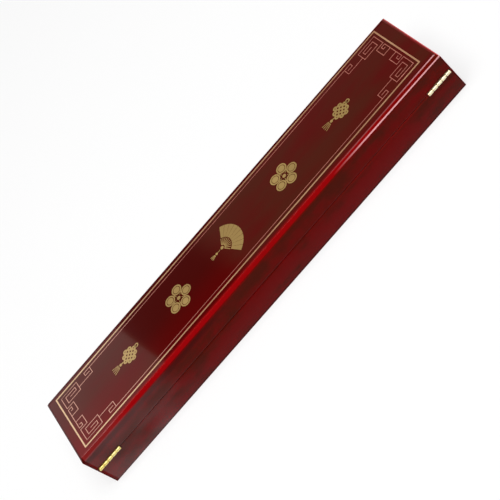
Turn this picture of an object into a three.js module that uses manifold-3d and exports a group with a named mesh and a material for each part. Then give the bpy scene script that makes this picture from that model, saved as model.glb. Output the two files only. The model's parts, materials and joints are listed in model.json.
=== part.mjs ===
// A lacquered wooden box for one folding fan, in millimetres.
// +X runs along the box, +Y points to the hinged back and +Z points up.
// The origin is the middle of the underside. The lid opens about the two hinge pins at the back.

import * as THREE from "three";
import { mergeVertices } from "three/addons/utils/BufferGeometryUtils.js";
import Module from "manifold-3d";

const wasm = await Module();
wasm.setup();

// The case as it stands closed
const boxLength = 360;
const boxWidth = 68;
const boxHeight = 38;
const axisHeight = 20.4; // the hinge pins lie in the middle of the parting gap
const partingGap = 0.3;

// The boards
const wallThickness = 7;
const lidPanelThickness = 5;
const floorThickness = 4;
const topBevel = 2.4;
const cornerArris = 0.6;
const glueLine = 0.05;

// The felt under the floor, which the box stands on
const feltThickness = 1.2;
const feltProud = 0.1;
const feltEdgeGap = 0.5;

// The two butt hinges
const hingeLength = 21.2;
const hingeEndGap = 1.9;
const barrelRadius = 1.25;
const barrelOffset = 0.5; // the pin lies this far behind the back of the box
const pinRadius = 0.6;
const pinClearance = 0.12;
const leafThickness = 0.7;
const leafInnerLedge = 1; // wood left between a leaf and the inside of the wall
const knuckleCount = 5;
const knuckleGap = 0.2;
const leafClearance = 0.2; // between a leaf and the other leaf's knuckles
const mortiseClearance = 0.1;
const grooveClearance = 0.3;

// The hinge screws
const screwHeadRadius = 1.5;
const screwShankRadius = 0.8;
const screwLength = 5;
const screwTipLength = 1.6;
const screwClearance = 0.1;
const screwSlotWidth = 0.4;
const screwSlotDepth = 0.3;
const screwEndDistance = 5.2; // from each end of the leaf

// The magnets in the front rims, and the thumb scoop between them
const magnetRadius = 2.5;
const magnetThickness = 2;
const magnetSink = 0.05;
const magnetClearance = 0.1;
const magnetEndDistance = 30;
const scoopHalfLength = 22;
const scoopHalfHeight = 7;
const scoopHalfDepth = 4;
const scoopDepth = 1.5;

// The lid's lining
const liningThickness = 1.2;
const liningSetback = 0.3;
const liningGap = 0.15;
const padBoardThickness = 1;
const padFoamThickness = 1.5;
const satinThickness = 0.5;
const wrapGap = 0.05; // between a satin cover and what it wraps

// The fan bed in the base
const bedBoardThickness = 1;
const bedEdgeGap = 0.3;
const bedBelowRim = 1.4;
const foamUnderTrough = 1.5;
const troughEndGap = 5.5; // between the trough and the bed's ends
const troughLeafWidth = 38; // where the fan's leaf lies
const troughPivotWidth = 30; // where its pivot lies
const troughLeafCorner = 6;
const troughPivotCorner = 13;
const notchRadius = 7;
const notchLand = 2.2; // left between a notch and the bed's edge

// Facets of round work
const fineFacets = 32;
const smallFacets = 20;
const cornerFacets = 6;

// Places worked out from the sizes above
const halfLength = boxLength / 2;
const halfWidth = boxWidth / 2;
const innerHalfLength = halfLength - wallThickness;
const innerHalfWidth = halfWidth - wallThickness;
const baseRim = axisHeight - partingGap / 2;
const lidRim = axisHeight + partingGap / 2;
const panelUnderside = boxHeight - lidPanelThickness;
const axisY = halfWidth + barrelOffset;
const floorUnderside = feltThickness + glueLine;
const floorTop = floorUnderside + floorThickness;

// Finishes
const lacquer = new THREE.MeshStandardMaterial({ color: 0x5a1013, roughness: 0.12 });
const brass = new THREE.MeshStandardMaterial({ color: 0xd9b45a, roughness: 0.25, metalness: 1 });
const nickel = new THREE.MeshStandardMaterial({ color: 0xc8c8c6, roughness: 0.3, metalness: 1 });
const satin = new THREE.MeshStandardMaterial({ color: 0xd6a53a, roughness: 0.45 });
const foam = new THREE.MeshStandardMaterial({ color: 0xe8e2cf, roughness: 0.95 });
const card = new THREE.MeshStandardMaterial({ color: 0x9a9388, roughness: 0.9 });
const felt = new THREE.MeshStandardMaterial({ color: 0x2c1416, roughness: 1 });

// A closed geometry as a solid that can be joined and cut
function solidFrom(geometry) {
  const bare = geometry.clone();
  bare.deleteAttribute("normal");
  bare.deleteAttribute("uv");
  const merged = mergeVertices(bare, 1e-4);
  return new wasm.Manifold(
    new wasm.Mesh({
      numProp: 3,
      vertProperties: merged.attributes.position.array,
      triVerts: new Uint32Array(merged.index.array),
    }),
  );
}

function geometryFrom(solid) {
  const mesh = solid.getMesh();
  const geometry = new THREE.BufferGeometry();
  geometry.setAttribute("position", new THREE.BufferAttribute(mesh.vertProperties, 3));
  geometry.setIndex(new THREE.BufferAttribute(mesh.triVerts, 1));
  geometry.computeVertexNormals();
  return geometry;
}

function cut(geometry, ...tools) {
  return geometryFrom(tools.reduce((left, tool) => left.subtract(solidFrom(tool)), solidFrom(geometry)));
}

function join(geometry, ...others) {
  return geometryFrom(others.reduce((sum, other) => sum.add(solidFrom(other)), solidFrom(geometry)));
}

// A block between two corners, each given as [x, y, z]
function block(low, high) {
  const size = high.map((value, i) => value - low[i]);
  const middle = high.map((value, i) => (value + low[i]) / 2);
  return new THREE.BoxGeometry(...size).translate(...middle);
}

function rodAlongX(radius, x0, x1, y, z) {
  const rod = new THREE.CylinderGeometry(radius, radius, x1 - x0, fineFacets);
  return rod.rotateZ(Math.PI / 2).translate((x0 + x1) / 2, y, z);
}

function rodAlongZ(radius, x, y, z0, z1) {
  const rod = new THREE.CylinderGeometry(radius, radius, z1 - z0, fineFacets);
  return rod.rotateX(Math.PI / 2).translate(x, y, (z0 + z1) / 2);
}

// A flat outline of [x, y] points raised from z0 to z1
function raised(points, z0, z1) {
  const shape = new THREE.Shape(points.map(([x, y]) => new THREE.Vector2(x, y)));
  return new THREE.ExtrudeGeometry(shape, { depth: z1 - z0, bevelEnabled: false }).translate(0, 0, z0);
}

// The plan of a rectangle whose four corners are cut off by the arris, anticlockwise from its right side
function softenedPlan(halfX, halfY, arris) {
  return [
    [halfX, -halfY + arris],
    [halfX, halfY - arris],
    [halfX - arris, halfY],
    [-halfX + arris, halfY],
    [-halfX, halfY - arris],
    [-halfX, -halfY + arris],
    [-halfX + arris, -halfY],
    [halfX - arris, -halfY],
  ];
}

// A solid skinned over rings of points that stand one above another
function skinned(rings) {
  const count = rings[0].length;
  const triangles = [];
  for (let level = 0; level + 1 < rings.length; level++) {
    for (let i = 0; i < count; i++) {
      const a = level * count + i;
      const b = level * count + ((i + 1) % count);
      triangles.push(a, b, b + count, a, b + count, a + count);
    }
  }
  const top = (rings.length - 1) * count;
  for (let i = 1; i + 1 < count; i++) {
    triangles.push(0, i + 1, i, top, top + i, top + i + 1);
  }
  const geometry = new THREE.BufferGeometry();
  geometry.setAttribute("position", new THREE.Float32BufferAttribute(rings.flat(2), 3));
  geometry.setIndex(triangles);
  geometry.computeVertexNormals();
  return geometry;
}

// The four-sided plan with rounded corners: corners run anticlockwise, each [x, y, radius]
function roundedPlan(corners) {
  const points = [];
  corners.forEach(([x, y, radius], i) => {
    const before = corners[(i + corners.length - 1) % corners.length];
    const after = corners[(i + 1) % corners.length];
    const corner = new THREE.Vector2(x, y);
    const back = new THREE.Vector2(before[0] - x, before[1] - y).normalize();
    const ahead = new THREE.Vector2(after[0] - x, after[1] - y).normalize();
    const halfAngle = Math.acos(back.dot(ahead)) / 2;
    const toCentre = back.clone().add(ahead).normalize().multiplyScalar(radius / Math.sin(halfAngle));
    const centre = corner.clone().add(toCentre);
    const reach = radius / Math.tan(halfAngle);
    const start = corner.clone().addScaledVector(back, reach).sub(centre);
    const turn = Math.PI - 2 * halfAngle;
    for (let step = 0; step <= cornerFacets; step++) {
      const arm = start.clone().rotateAround(new THREE.Vector2(), (turn * step) / cornerFacets);
      points.push([centre.x + arm.x, centre.y + arm.y]);
    }
  });
  return points;
}

const root = new THREE.Group();
const base = new THREE.Group();
const lid = new THREE.Group(); // stands at the hinge axis, so that turning it about X opens the box
const lidPieces = new THREE.Group();
lid.position.set(0, axisY, axisHeight);
lidPieces.position.set(0, -axisY, -axisHeight);
lid.add(lidPieces);
root.add(base, lid);

function place(group, name, geometry, material) {
  const mesh = new THREE.Mesh(geometry, material);
  mesh.name = name;
  group.add(mesh);
}

// The hinges and what they let into the back walls. A hinge is known by its ends along X.
const hinges = [
  { name: "left", x0: -halfLength + hingeEndGap },
  { name: "right", x0: halfLength - hingeEndGap - hingeLength },
].map((hinge) => ({ ...hinge, x1: hinge.x0 + hingeLength }));

const leafInnerY = innerHalfWidth + leafInnerLedge;
const screwY = (leafInnerY + axisY - barrelRadius) / 2;
const screwPlaces = hinges.map(({ x0, x1 }) => [x0 + screwEndDistance, x1 - screwEndDistance]);

// Both leaves are described by which way they lie from the parting gap: up is 1 for the lid, -1 for the base
const partingFace = (up) => axisHeight + (up * partingGap) / 2;
const leafBack = (up) => partingFace(up) + up * leafThickness;

function between(za, zb) {
  return [Math.min(za, zb), Math.max(za, zb)];
}

function hingeRecesses(up) {
  const tools = [];
  hinges.forEach(({ x0, x1 }, i) => {
    const low = x0 - mortiseClearance;
    const high = x1 + mortiseClearance;
    const [z0, z1] = between(partingFace(up) - up * partingGap, leafBack(up) + up * mortiseClearance);
    tools.push(block([low, leafInnerY - mortiseClearance, z0], [high, axisY, z1]));
    tools.push(rodAlongX(barrelRadius + grooveClearance, low, high, axisY, axisHeight));
    for (const x of screwPlaces[i]) {
      const [deep, mouth] = between(partingFace(up) + up * (screwLength + screwClearance), axisHeight);
      tools.push(rodAlongZ(screwShankRadius + screwClearance, x, screwY, deep, mouth));
    }
  });
  return tools;
}

// The front rims' magnet pockets and the thumb scoop, which is half in the lid and half in the base
const magnetPlaces = [
  { name: "left", x: -halfLength + magnetEndDistance },
  { name: "right", x: halfLength - magnetEndDistance },
];
const magnetY = -halfWidth + wallThickness / 2;

function frontRecesses(up) {
  const scoop = new THREE.SphereGeometry(1, fineFacets, fineFacets / 2)
    .scale(scoopHalfLength, scoopHalfDepth, scoopHalfHeight)
    .translate(0, -halfWidth - scoopHalfDepth + scoopDepth, axisHeight);
  const pockets = magnetPlaces.map(({ x }) => {
    const deepest = partingFace(up) + up * (magnetSink + magnetThickness + magnetClearance);
    return rodAlongZ(magnetRadius + magnetClearance, x, magnetY, ...between(deepest, axisHeight));
  });
  return [scoop, ...pockets];
}

// A long wall is the full length of the box and carries both outer corners
function longWallPlan(side) {
  const inner = side * innerHalfWidth;
  const outer = side * halfWidth;
  const shoulder = outer - side * cornerArris;
  return [
    [-halfLength, inner],
    [-halfLength, shoulder],
    [-halfLength + cornerArris, outer],
    [halfLength - cornerArris, outer],
    [halfLength, shoulder],
    [halfLength, inner],
  ];
}

function endWall(side, z0, z1) {
  const halfSpan = innerHalfWidth - glueLine;
  const [x0, x1] = between(side * innerHalfLength, side * halfLength);
  return block([x0, -halfSpan, z0], [x1, halfSpan, z1]);
}

function makeWalls(group, prefix, up, z0, z1) {
  const front = raised(longWallPlan(-1), z0, z1);
  const back = raised(longWallPlan(1), z0, z1);
  place(group, `${prefix}_front_wall`, cut(front, ...frontRecesses(up)), lacquer);
  place(group, `${prefix}_back_wall`, cut(back, ...hingeRecesses(up)), lacquer);
  place(group, `${prefix}_left_end_wall`, endWall(-1, z0, z1), lacquer);
  place(group, `${prefix}_right_end_wall`, endWall(1, z0, z1), lacquer);
}

// The lid's wooden shell: a panel with a bevel all round, glued on four walls
function makeLidShell() {
  const ring = (inset, z) =>
    softenedPlan(halfLength - inset, halfWidth - inset, cornerArris).map(([x, y]) => [x, y, z]);
  const panel = skinned([
    ring(0, panelUnderside),
    ring(0, boxHeight - topBevel),
    ring(topBevel, boxHeight),
  ]);
  place(lidPieces, "lid_top_panel", panel, lacquer);
  makeWalls(lidPieces, "lid", 1, lidRim, panelUnderside - glueLine);
}

// The base's wooden shell, with its floor held between the walls above the felt
function makeBaseShell() {
  const x = innerHalfLength - glueLine;
  const y = innerHalfWidth - glueLine;
  makeWalls(base, "base", -1, feltProud, baseRim);
  place(base, "base_floor_panel", block([-x, -y, floorUnderside], [x, y, floorTop]), lacquer);
  const feltX = innerHalfLength - feltEdgeGap;
  const feltY = innerHalfWidth - feltEdgeGap;
  place(base, "base_felt", block([-feltX, -feltY, 0], [feltX, feltY, feltThickness]), felt);
}

// Where knuckle i of a hinge that starts at x0 begins and ends. The end ones are flush with the leaf.
const knucklePitch = hingeLength / knuckleCount;

function knuckleSpan(x0, i) {
  const low = x0 + i * knucklePitch + (i > 0 ? knuckleGap / 2 : 0);
  const high = x0 + (i + 1) * knucklePitch - (i < knuckleCount - 1 ? knuckleGap / 2 : 0);
  return [low, high];
}

// The base's leaf carries the first, third and fifth knuckles and the lid's leaf the others. Each is cut
// back where the other's knuckles turn.
function hingeLeaf(x0, up, holes) {
  const [z0, z1] = between(partingFace(up), leafBack(up));
  const plate = block([x0, leafInnerY, z0], [x0 + hingeLength, axisY, z1]);
  const knuckles = [];
  const passages = [];
  for (let i = 0; i < knuckleCount; i++) {
    const [low, high] = knuckleSpan(x0, i);
    const isBaseKnuckle = i % 2 === 0;
    if (isBaseKnuckle === up < 0) {
      knuckles.push(rodAlongX(barrelRadius, low, high, axisY, axisHeight));
    } else {
      const radius = barrelRadius + leafClearance;
      passages.push(rodAlongX(radius, low - knuckleGap, high + knuckleGap, axisY, axisHeight));
    }
  }
  const boreRadius = pinRadius + pinClearance;
  const bore = rodAlongX(boreRadius, x0 - knucklePitch, x0 + hingeLength + knucklePitch, axisY, axisHeight);
  return cut(join(cut(plate, ...passages), ...knuckles), bore, ...holes);
}

// The two hinges, each of two leaves, a pin and two screws in each leaf
function makeHinges() {
  hinges.forEach(({ name, x0, x1 }, i) => {
    for (const up of [-1, 1]) {
      const half = up > 0 ? "lid" : "base";
      const group = up > 0 ? lidPieces : base;
      const holes = screwPlaces[i].map((x) => countersink(x, up));
      place(group, `${name}_hinge_${half}_leaf`, hingeLeaf(x0, up, holes), brass);
      screwPlaces[i].forEach((x, n) => {
        place(group, `${name}_hinge_${half}_screw_${n + 1}`, screw(x, up), brass);
      });
    }
    place(base, `${name}_hinge_pin`, rodAlongX(pinRadius, x0, x1, axisY, axisHeight), brass);
  });
}

// A profile of [radius, height] points turned about a screw's axis. Height counts out of the leaf's face.
function turned(profile, x, up) {
  const points = profile.map(([radius, height]) => new THREE.Vector2(radius, height));
  const lathe = new THREE.LatheGeometry(points, smallFacets).rotateX(Math.PI / 2);
  if (up > 0) {
    lathe.rotateX(Math.PI);
  }
  return lathe.translate(x, screwY, partingFace(up));
}

// The hole for a countersunk screw, through the leaf and open to the parting gap
function countersink(x, up) {
  const shank = screwShankRadius + screwClearance;
  const head = screwHeadRadius + screwClearance;
  const profile = [
    [0, -screwLength],
    [shank, -screwLength],
    [shank, -leafThickness],
    [head, 0],
    [head, partingGap],
    [0, partingGap],
  ];
  return turned(profile, x, up);
}

// A pointed screw with a slotted head, sunk a little below the leaf's face
function screw(x, up) {
  const sink = screwClearance / 2;
  const profile = [
    [0, -screwLength],
    [screwShankRadius, -screwLength + screwTipLength],
    [screwShankRadius, -leafThickness],
    [screwHeadRadius, -sink],
    [0, -sink],
  ];
  const halfSlot = screwSlotWidth / 2;
  const slotReach = 2 * screwHeadRadius;
  const [z0, z1] = between(partingFace(up), partingFace(up) + up * (sink + screwSlotDepth));
  const slot = block([x - slotReach, screwY - halfSlot, z0], [x + slotReach, screwY + halfSlot, z1]);
  return cut(turned(profile, x, up), slot);
}

function makeMagnets() {
  for (const { name, x } of magnetPlaces) {
    for (const up of [-1, 1]) {
      const face = partingFace(up) + up * magnetSink;
      const disc = rodAlongZ(magnetRadius, x, magnetY, ...between(face, face + up * magnetThickness));
      place(up > 0 ? lidPieces : base, `${up > 0 ? "lid" : "base"}_magnet_${name}`, disc, nickel);
    }
  }
}

// Satin-covered strips round the inside of the lid, and a padded panel between them
function makeLidLining() {
  const z0 = lidRim + liningSetback;
  const z1 = panelUnderside - glueLine;
  const outerX = innerHalfLength - glueLine;
  const outerY = innerHalfWidth - glueLine;
  const innerX = outerX - liningThickness;
  const innerY = outerY - liningThickness;
  for (const [name, side] of [
    ["front", -1],
    ["back", 1],
  ]) {
    const [y0, y1] = between(side * innerY, side * outerY);
    place(lidPieces, `lid_${name}_lining`, block([-outerX, y0, z0], [outerX, y1, z1]), satin);
  }
  for (const [name, side] of [
    ["left", -1],
    ["right", 1],
  ]) {
    const [x0, x1] = between(side * innerX, side * outerX);
    const halfSpan = innerY - glueLine;
    place(lidPieces, `lid_${name}_lining`, block([x0, -halfSpan, z0], [x1, halfSpan, z1]), satin);
  }
  makeLidPad(innerX - liningGap, innerY - liningGap, z1);
}

function makeLidPad(x, y, z1) {
  const coreX = x - satinThickness - wrapGap;
  const coreY = y - satinThickness - wrapGap;
  const boardLow = z1 - padBoardThickness;
  const foamHigh = boardLow - glueLine;
  const foamLow = foamHigh - padFoamThickness;
  const coverLow = foamLow - wrapGap - satinThickness;
  const hollow = block(
    [-coreX - wrapGap, -coreY - wrapGap, foamLow - wrapGap],
    [coreX + wrapGap, coreY + wrapGap, z1 + lidPanelThickness],
  );
  place(lidPieces, "lid_pad_board", block([-coreX, -coreY, boardLow], [coreX, coreY, z1]), card);
  place(lidPieces, "lid_pad_foam", block([-coreX, -coreY, foamLow], [coreX, coreY, foamHigh]), foam);
  place(lidPieces, "lid_pad_satin", cut(block([-x, -y, coverLow], [x, y, z1]), hollow), satin);
}

// The trough that the folded fan lies in, with a notch for a finger on each side, grown all round by a
// cover's thickness
function troughTool(grow, floor) {
  const endX = innerHalfLength - bedEdgeGap - troughEndGap + grow;
  const leafY = troughLeafWidth / 2 + grow;
  const pivotY = troughPivotWidth / 2 + grow;
  const plan = roundedPlan([
    [-endX, -leafY, troughLeafCorner + grow],
    [endX, -pivotY, troughPivotCorner + grow],
    [endX, pivotY, troughPivotCorner + grow],
    [-endX, leafY, troughLeafCorner + grow],
  ]);
  const notchHalf = notchRadius + grow;
  const notchY = innerHalfWidth - bedEdgeGap - notchLand - notchRadius;
  const ends = [-1, 1].map((side) => rodAlongZ(notchHalf, 0, side * notchY, floor, boxHeight));
  const across = block([-notchHalf, -notchY, floor], [notchHalf, notchY, boxHeight]);
  return join(raised(plan, floor, boxHeight), across, ...ends);
}

// The fan bed: a card, a foam block and the satin that wraps them
function makeFanBed() {
  const x = innerHalfLength - bedEdgeGap;
  const y = innerHalfWidth - bedEdgeGap;
  const cardLow = floorTop + glueLine;
  const cardHigh = cardLow + bedBoardThickness;
  const top = baseRim - bedBelowRim;
  const foamLow = cardHigh + glueLine;
  const troughFloor = foamLow + foamUnderTrough + wrapGap + satinThickness;
  const inside = satinThickness;
  const core = satinThickness + wrapGap;
  const cover = cut(block([-x, -y, cardLow], [x, y, top]), troughTool(0, troughFloor));
  const hollow = cut(
    block([-x + inside, -y + inside, -boxHeight], [x - inside, y - inside, top - inside]),
    troughTool(inside, troughFloor - inside),
  );
  const filling = cut(
    block([-x + core, -y + core, foamLow], [x - core, y - core, top - core]),
    troughTool(core, troughFloor - core),
  );
  place(base, "bed_board", block([-x + core, -y + core, cardLow], [x - core, y - core, cardHigh]), card);
  place(base, "bed_foam", filling, foam);
  place(base, "bed_satin", cut(cover, hollow), satin);
}

makeLidShell();
makeBaseShell();
makeHinges();
makeMagnets();
makeLidLining();
makeFanBed();

export default root;
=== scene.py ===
import json
import math

import bmesh
import bpy
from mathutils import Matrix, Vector


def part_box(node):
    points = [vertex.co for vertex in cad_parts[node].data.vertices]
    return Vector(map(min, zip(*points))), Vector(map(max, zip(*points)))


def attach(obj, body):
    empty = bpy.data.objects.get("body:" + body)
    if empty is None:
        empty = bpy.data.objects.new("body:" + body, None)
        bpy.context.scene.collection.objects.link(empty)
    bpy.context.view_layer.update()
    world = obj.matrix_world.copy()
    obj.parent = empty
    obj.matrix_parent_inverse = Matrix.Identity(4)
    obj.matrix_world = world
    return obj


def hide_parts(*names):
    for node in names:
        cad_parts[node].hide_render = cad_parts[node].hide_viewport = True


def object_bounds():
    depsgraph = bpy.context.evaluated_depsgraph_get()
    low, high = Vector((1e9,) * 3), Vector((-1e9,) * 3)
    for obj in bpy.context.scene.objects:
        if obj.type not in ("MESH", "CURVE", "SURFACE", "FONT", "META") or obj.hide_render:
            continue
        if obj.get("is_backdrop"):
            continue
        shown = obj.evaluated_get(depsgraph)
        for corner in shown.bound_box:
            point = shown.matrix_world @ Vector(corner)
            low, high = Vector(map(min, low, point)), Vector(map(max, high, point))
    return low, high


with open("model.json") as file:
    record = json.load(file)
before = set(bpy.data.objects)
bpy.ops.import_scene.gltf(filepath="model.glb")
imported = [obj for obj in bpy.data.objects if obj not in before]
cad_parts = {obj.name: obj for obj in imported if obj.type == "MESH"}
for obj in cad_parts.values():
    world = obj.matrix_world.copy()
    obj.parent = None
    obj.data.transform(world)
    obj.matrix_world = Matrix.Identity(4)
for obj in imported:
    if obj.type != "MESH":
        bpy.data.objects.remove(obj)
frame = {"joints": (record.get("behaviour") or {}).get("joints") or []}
cad_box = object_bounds()
MM = 0.001

# The camera looks down on the hinged back of the closed box, which lies slantwise across the picture,
# its right end nearest, at the lower left.
EYE = Vector((-75.12, 664.64, 619.93)) * MM
TURN = [math.radians(angle) for angle in (33.6624, 36.5259, 144.6624)]

bpy.ops.object.camera_add(location=EYE, rotation=TURN)
camera = bpy.context.object
camera.data.lens = 93.987
camera.data.sensor_width = 36
camera.data.clip_start = 0.01
camera.data.clip_end = 20
bpy.context.scene.camera = camera
bpy.context.scene.view_settings.view_transform = "Standard"


# The lid's top is one board with a bevel all round, planed square and lacquered red over a dark ground.
# The bevel is painted a brighter red, a painted reflection, and the lacquer lies cloudy along the grain.
TOP_BROWN = (0.066, 0.0085, 0.003, 1)
TOP_RED = (0.084, 0.002, 0.001, 1)
DEEP_RED = (0.053, 0.0012, 0.0006, 1)
GLOWING_RED = (0.078, 0.0004, 0.0003, 1)
SIDE_BROWN = (0.068, 0.0055, 0.0012, 1)
SIDE_RED = (0.142, 0.0008, 0.0008, 1)
# Painted shade at the corners and the foot
PAINTED_SHADE_RED = (0.055, 0.0006, 0.0005, 1)
# Below, the colours of painted highlights and reflections on the bevel, its edges, the end ridge and the rim
HIGHLIGHT_RED = (0.29, 0.0015, 0.003, 1)
REFLECTION_HAZE_RED = (0.205, 0.010, 0.0095, 1)
END_HIGHLIGHT_RED = (0.62, 0.035, 0.03, 1)
HIGHLIGHT_PINK = (0.84, 0.40, 0.42, 1)
LID_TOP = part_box("lid_top_panel")[1].z
PANEL_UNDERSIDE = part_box("lid_top_panel")[0].z
HALF_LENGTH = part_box("lid_top_panel")[1].x
HALF_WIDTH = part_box("lid_top_panel")[1].y
BASE_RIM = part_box("base_back_wall")[1].z
CORNER_ROUND = 0.4 * MM
BEVEL = 2.4 * MM
# Where the bevel's lower edge lies, and where its upper edge lies at the right end
RIDGE = LID_TOP - BEVEL
FLAT_END = HALF_LENGTH - BEVEL


def bare(value):
    return value.socket if isinstance(value, Shade) else value


class Shade:
    """A shader socket that can be reckoned with."""

    def __init__(self, tree, socket):
        self.tree = tree
        self.socket = socket

    def node(self, kind, sockets, settings=None, out=0):
        made = self.tree.nodes.new(kind)
        for name, value in (settings or {}).items():
            setattr(made, name, value)
        for key, value in sockets.items():
            if isinstance(bare(value), bpy.types.NodeSocket):
                self.tree.links.new(bare(value), made.inputs[key])
            else:
                made.inputs[key].default_value = value
        return Shade(self.tree, made.outputs[out])

    def math(self, operation, *values):
        return self.node("ShaderNodeMath", dict(enumerate(values)), {"operation": operation})

    def __add__(self, other):
        return self.math("ADD", self, other)

    def __radd__(self, other):
        return self.math("ADD", other, self)

    def __sub__(self, other):
        return self.math("SUBTRACT", self, other)

    def __rsub__(self, other):
        return self.math("SUBTRACT", other, self)

    def __mul__(self, other):
        return self.math("MULTIPLY", self, other)

    def __rmul__(self, other):
        return self.math("MULTIPLY", other, self)

    def part(self, letter):
        return self.node("ShaderNodeSeparateXYZ", {0: self}, out="XYZ".index(letter))

    def size(self):
        return self.math("ABSOLUTE", self)

    def at_least(self, other):
        return self.math("MAXIMUM", self, other)

    def ramp(self, low, high):
        """0 up to low, 1 from high on, and smooth in between."""
        settings = {"interpolation_type": "SMOOTHSTEP"}
        return self.node("ShaderNodeMapRange", {0: self, 1: low, 2: high}, settings)

    def fall(self, low, high):
        """1 up to low, 0 from high on, and smooth in between."""
        return 1 - self.ramp(low, high)

    def band(self, low, high, soft):
        """1 between low and high, and 0 further out than soft."""
        return self.ramp(low - soft, low) * self.fall(high, high + soft)

    def stretched(self, factors):
        return self.node("ShaderNodeVectorMath", {0: self, 1: factors}, {"operation": "MULTIPLY"})

    def clouds(self, scale, detail=2.0, stretch=(1, 1, 1)):
        """Noise from 0 to 1 over this place, drawn out where stretch is small."""
        sockets = {"Vector": self.stretched(stretch), "Scale": scale, "Detail": detail}
        return self.node("ShaderNodeTexNoise", sockets)

    def colour(self, first, second):
        """The first colour where this is 0 and the second where it is 1."""
        return self.node("ShaderNodeMix", {0: self, 6: first, 7: second}, {"data_type": "RGBA"}, out=2)

    def relief(self, distance, strength=1.0):
        return self.node("ShaderNodeBump", {"Height": self, "Distance": distance, "Strength": strength})


def finish_of(name, paint, **constants):
    """A material. paint takes the place on the piece and gives the sockets that vary over it."""
    material = bpy.data.materials.new(name)
    material.use_nodes = True
    tree = material.node_tree
    surface = tree.nodes["Principled BSDF"]
    for socket, value in constants.items():
        surface.inputs[socket.replace("_", " ")].default_value = value
    place = tree.nodes.new("ShaderNodeTexCoord")
    for socket, value in paint(Shade(tree, place.outputs["Object"])).items():
        tree.links.new(bare(value), surface.inputs[socket])
    return material


def from_end(place):
    """How far a place lies in from the nearer end of the box."""
    return HALF_LENGTH - place.part("X").size()


def from_side(place):
    """How far a place lies in from the nearer long side."""
    return HALF_WIDTH - place.part("Y").size()


def side_lacquer(place, grain, patches, mottle):
    """Cloudy, with painted shade under the bevel's right half, at the corners and at the foot, and a painted
    highlight along the corner and foot edges.
    """
    height = place.part("Z")
    low_down = 0.06 * height.fall(8 * MM, 20 * MM)
    cloudy = 0.4 * grain + 0.35 * patches + 0.25 * mottle + low_down
    side = cloudy.ramp(0.42, 0.6).colour(SIDE_BROWN, SIDE_RED)
    shade_under_bevel = height.ramp(29 * MM, 32 * MM) * place.part("X").ramp(25 * MM, 65 * MM)
    side = (shade_under_bevel * 0.75).colour(side, DEEP_RED)
    corner = from_end(place).fall(0.5 * MM, 1.5 * MM) * from_side(place).fall(0.5 * MM, 1.5 * MM)
    foot = height.fall(0.9 * MM, 2.1 * MM)
    side = (corner + foot).ramp(0, 1).colour(side, PAINTED_SHADE_RED)
    corner_highlight = from_end(place).fall(0.25 * MM, 0.5 * MM) * from_side(place).fall(0.25 * MM, 0.5 * MM)
    foot_highlight = height.fall(0.3 * MM, 0.6 * MM)
    return ((corner_highlight + foot_highlight).ramp(0, 1) * 0.8).colour(side, HIGHLIGHT_RED)


def darker_top_mask(place):
    """1 where the top is darker red and less glossy: along the front edge, and in a patch right of the
    middle.
    """
    across = place.part("Y")
    front_edge = from_side(place).fall(BEVEL + 1.2 * MM, BEVEL + 2.8 * MM) * across.fall(-4 * MM, -2 * MM)
    askew = place.part("X") + across * 0.2
    pool = askew.ramp(-6 * MM, 34 * MM) * askew.fall(92 * MM, 102 * MM)
    return (pool + front_edge).ramp(0, 1)


def top_lacquer(place, grain, patches, mottle, darker_top):
    """Cloudy, redder towards the right hinge, and of one deep red in the darker patches."""
    across = place.part("Y")
    top = (0.5 * grain + 0.5 * patches).ramp(0.38, 0.7).colour(TOP_BROWN, TOP_RED)
    top = from_side(place).fall(4 * MM, 8 * MM).colour(top, TOP_RED)
    redder = place.part("X").ramp(70 * MM, 185 * MM) * across.ramp(-15 * MM, 30 * MM)
    top = (redder * (0.4 + 0.9 * mottle)).colour(top, SIDE_RED)
    return darker_top.colour(top, across.ramp(-5 * MM, 22 * MM).colour(DEEP_RED, GLOWING_RED))


def bevel_sheen(place, grain, is_top, is_bevel):
    """The bevel's painted reflection, spilling a little beyond its two edges, and weaker towards the left
    end.
    """
    along = place.part("X")
    past_flat = is_top * from_side(place).fall(BEVEL, BEVEL + 2.3 * MM) * place.part("Y").ramp(0, 9 * MM)
    past_ridge = (1 - is_top) * place.part("Z").ramp(RIDGE - 2 * MM, RIDGE + 0.2 * MM)
    past = (1 - is_bevel) * (past_flat * 0.6 + past_ridge * 0.4) * along.ramp(-130 * MM, -50 * MM)
    return is_bevel * (0.12 + 0.88 * along.ramp(-200 * MM, -60 * MM)) * (0.8 + 0.3 * grain) + past


def painted_highlight_lines(place, is_left_end, is_right_end):
    """Painted pink highlights along both edges of the bevel towards the left end, and a faint one at the
    right.
    """
    along = place.part("X")
    height = place.part("Z")
    askew = height - (along + 190 * MM) * 0.006
    outer = askew.band(RIDGE - 0.28 * MM, RIDGE + 0.28 * MM, 0.15 * MM) * along.fall(-120 * MM, -75 * MM)
    faint = height.band(RIDGE - 0.4 * MM, RIDGE + 0.3 * MM, 0.2 * MM) * along.ramp(120 * MM, 155 * MM)
    outer = outer * 0.9 + faint * (1 - is_right_end) * 0.07
    inner = from_side(place).band(BEVEL - 0.25 * MM, BEVEL + 0.35 * MM, 0.15 * MM)
    inner = inner * height.ramp(LID_TOP - 0.6 * MM, LID_TOP - 0.45 * MM)
    inner = inner * (0.74 - 0.62 * along.ramp(-188 * MM, -128 * MM)) * along.fall(-105 * MM, -65 * MM)
    end = is_left_end * height.band(RIDGE - 0.4 * MM, RIDGE + 0.3 * MM, 0.4 * MM)
    end = end * (0.1 + 0.3 * place.part("Y").ramp(-20 * MM, 20 * MM))
    return end.at_least(outer).at_least(inner)


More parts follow.
